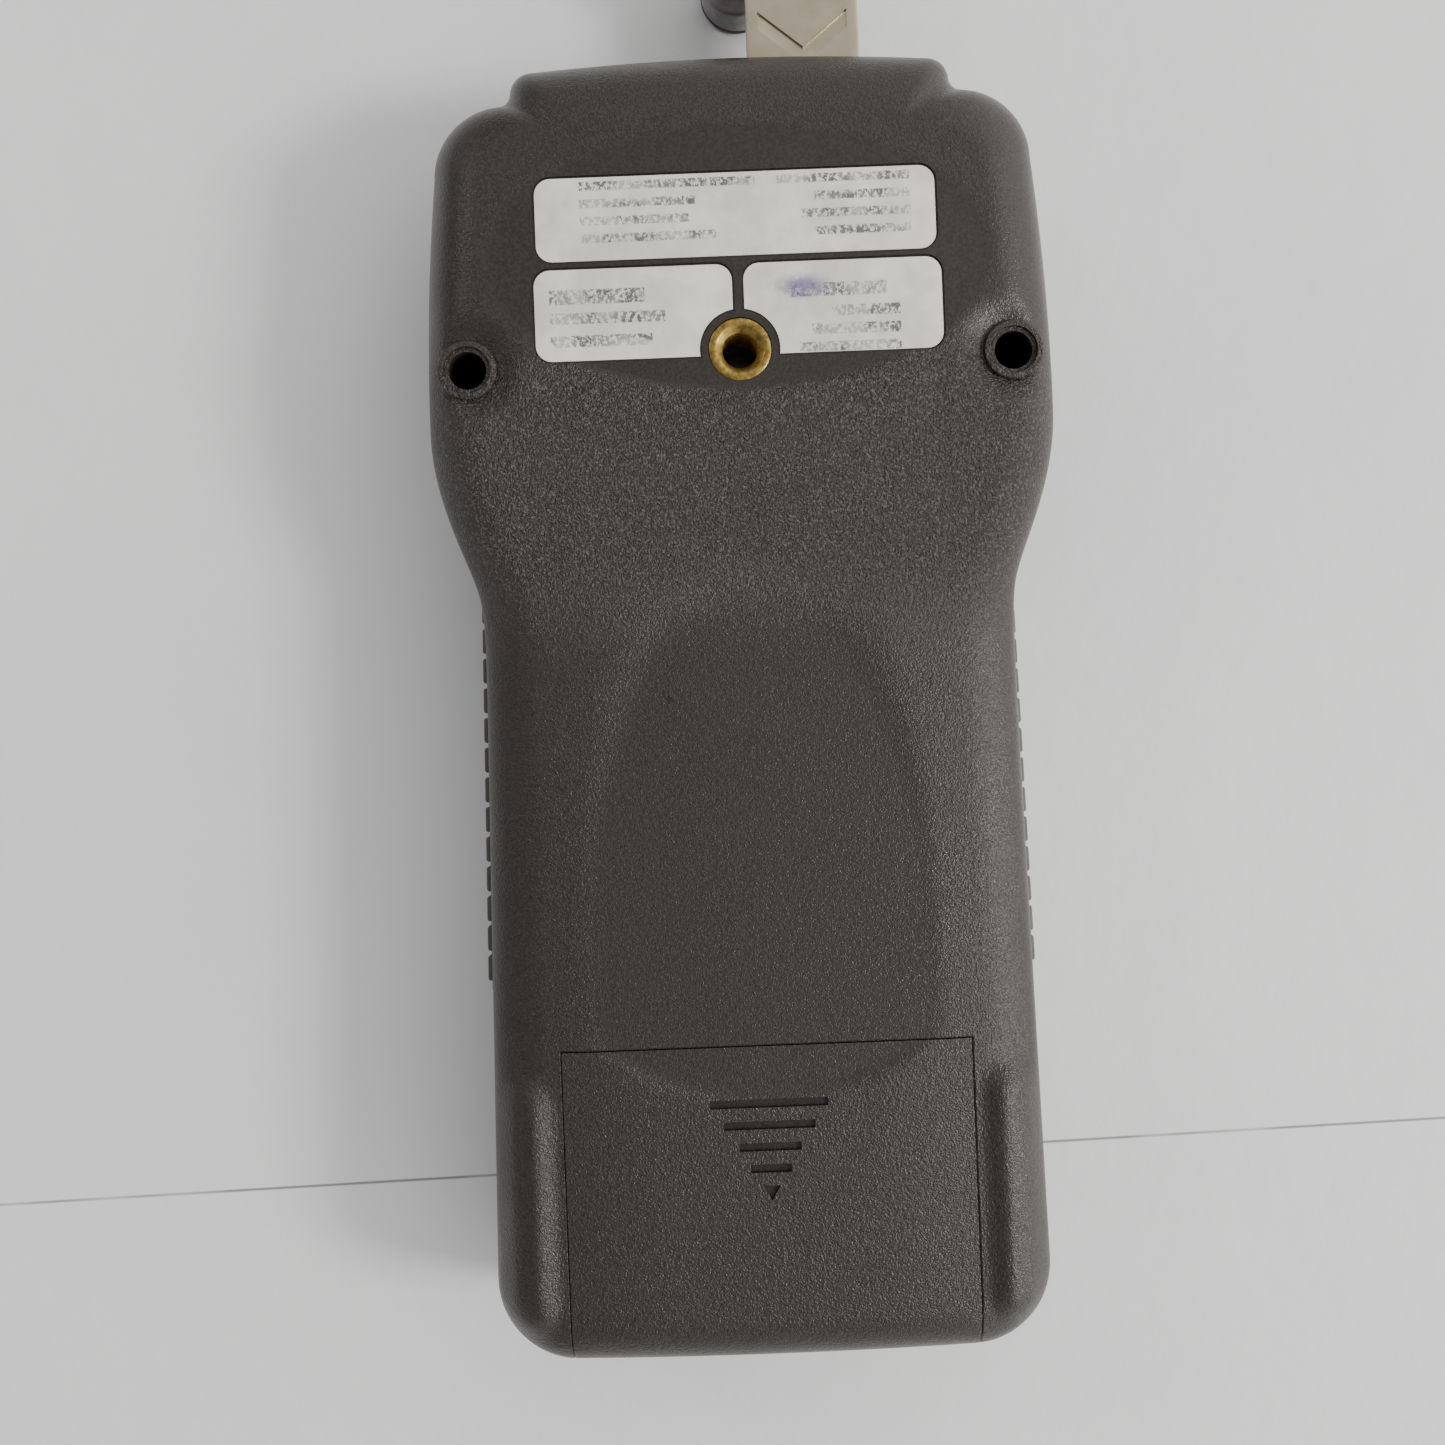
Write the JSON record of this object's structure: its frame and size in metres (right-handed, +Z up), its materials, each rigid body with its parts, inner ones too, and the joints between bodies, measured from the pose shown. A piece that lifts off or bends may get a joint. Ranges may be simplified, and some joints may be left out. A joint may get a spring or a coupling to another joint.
{
  "type": "stud finder",
  "caption": "Hand-held probe detector with a battery door at its butt, ribbed side grips, a tripod thread in its back and a flat metal probe plugged in at the top.",
  "frame": {"origin": "on the surface that the part lies on, under the middle of its overall box", "axes": "+X across the case, to the right as seen from above; +Y along it, towards the probe; +Z up, out of the back cover, as the part lies display side down"},
  "size_m": [0.0964, 0.236, 0.038],
  "materials": {
    "shell_plastic": "fine moulded texture, satin",
    "foam": "matt",
    "battery_case": "gloss",
    "black_plastic": "satin",
    "red_wire": "satin",
    "black_wire": "satin",
    "grip_rubber": "matt",
    "insert_brass": "machined",
    "screw_steel": "blackened",
    "label_film": "worn satin film",
    "clear_lens": "clear",
    "display_glass": "liquid crystal panel",
    "strip_rubber": "matt",
    "keypad_film": "fine grain",
    "red_key": "satin",
    "grey_key": "satin",
    "spring_steel": "bright",
    "board_laminate": "satin lacquer",
    "chip_plastic": "matt",
    "capacitor_can": "sleeved",
    "contact_metal": "plated",
    "probe_nickel": "warm nickel plate",
    "puck_metal": "dull",
    "puck_base_plastic": "satin"
  },
  "bodies": {
    "case": {"back_shell": "shell_plastic", "front_shell": "shell_plastic", "battery": "battery_case", "battery_snap": "black_plastic", "battery_lead_red": "red_wire", "battery_lead_black": "black_wire", "left_grip": "grip_rubber", "right_grip": "grip_rubber", "tripod_insert": "insert_brass", "upper_case_screws": "screw_steel", "lower_case_screws": "screw_steel", "label_top": "label_film", "label_left": "label_film", "label_right": "label_film", "display_window": "clear_lens", "lcd_frame": "black_plastic", "lcd_panel": "display_glass", "zebra_strips": "strip_rubber", "keypad_overlay": "keypad_film", "key_domes": "spring_steel", "main_board": "board_laminate", "board_screws": "screw_steel", "main_chip": "chip_plastic", "small_chips": "chip_plastic", "capacitors": "capacitor_can", "crystal_can": "spring_steel", "buzzer": "black_plastic", "probe_socket": "black_plastic", "socket_contacts": "contact_metal"},
    "door": {"battery_door": "shell_plastic", "door_pad": "foam"},
    "probe": {"probe_blade": "probe_nickel", "blade_contacts": "contact_metal", "sensor_puck": "puck_metal", "puck_base": "puck_base_plastic", "puck_rivet": "spring_steel"},
    "power_button": {"power_key": "red_key"},
    "hold_button": {"hold_key": "grey_key"},
    "zero_button": {"zero_key": "grey_key"},
    "range_button": {"range_key": "grey_key"},
    "mode_button": {"mode_key": "grey_key"},
    "light_button": {"light_key": "grey_key"}
  },
  "joints": [
    {"name": "battery_door_slide", "type": "slide", "parent": "case", "child": "door", "axis": [0, -1, 0], "range_m": [0, 0.052]},
    {"name": "probe_slide", "type": "slide", "parent": "case", "child": "probe", "axis": [0, 1, 0], "range_m": [0, 0.014]},
    {"name": "power_press", "type": "slide", "parent": "case", "child": "power_button", "axis": [0, 0, 1], "range_m": [0, 0.0005], "stiffness_N_per_m": 800},
    {"name": "hold_press", "type": "slide", "parent": "case", "child": "hold_button", "axis": [0, 0, 1], "range_m": [0, 0.0005], "stiffness_N_per_m": 800},
    {"name": "zero_press", "type": "slide", "parent": "case", "child": "zero_button", "axis": [0, 0, 1], "range_m": [0, 0.0005], "stiffness_N_per_m": 800},
    {"name": "range_press", "type": "slide", "parent": "case", "child": "range_button", "axis": [0, 0, 1], "range_m": [0, 0.0005], "stiffness_N_per_m": 800},
    {"name": "mode_press", "type": "slide", "parent": "case", "child": "mode_button", "axis": [0, 0, 1], "range_m": [0, 0.0005], "stiffness_N_per_m": 800},
    {"name": "light_press", "type": "slide", "parent": "case", "child": "light_button", "axis": [0, 0, 1], "range_m": [0, 0.0005], "stiffness_N_per_m": 800}
  ]
}
